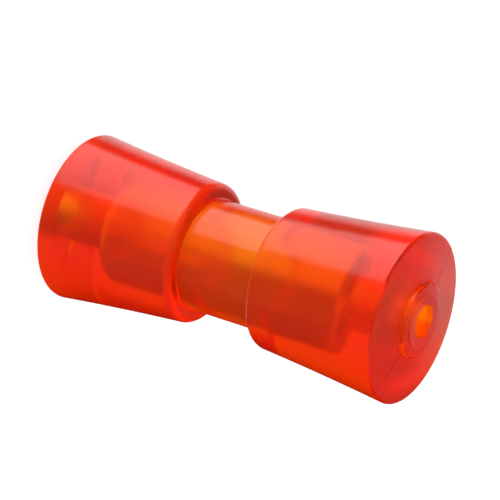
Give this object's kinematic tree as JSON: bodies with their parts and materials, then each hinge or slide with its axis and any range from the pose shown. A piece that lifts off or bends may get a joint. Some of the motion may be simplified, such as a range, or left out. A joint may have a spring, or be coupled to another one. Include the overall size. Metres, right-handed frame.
{
  "type": "boat trailer keel roller",
  "caption": "One-piece keel roller: two slightly hollow cones on a narrow neck, crowned ends with raised bosses, a spindle bore and a wider inner cavity.",
  "frame": {"origin": "centre of the lower end land, on the surface that the roller stands on", "axes": "+Z along the spindle bore, up to the end that has the trimmed gate; the XZ plane is the parting plane of the mould"},
  "size_m": [0.0846, 0.0846, 0.2],
  "materials": {
    "polyurethane": "clear, glossy, tinted through"
  },
  "bodies": {
    "root": {"roller": "polyurethane"}
  },
  "joints": []
}
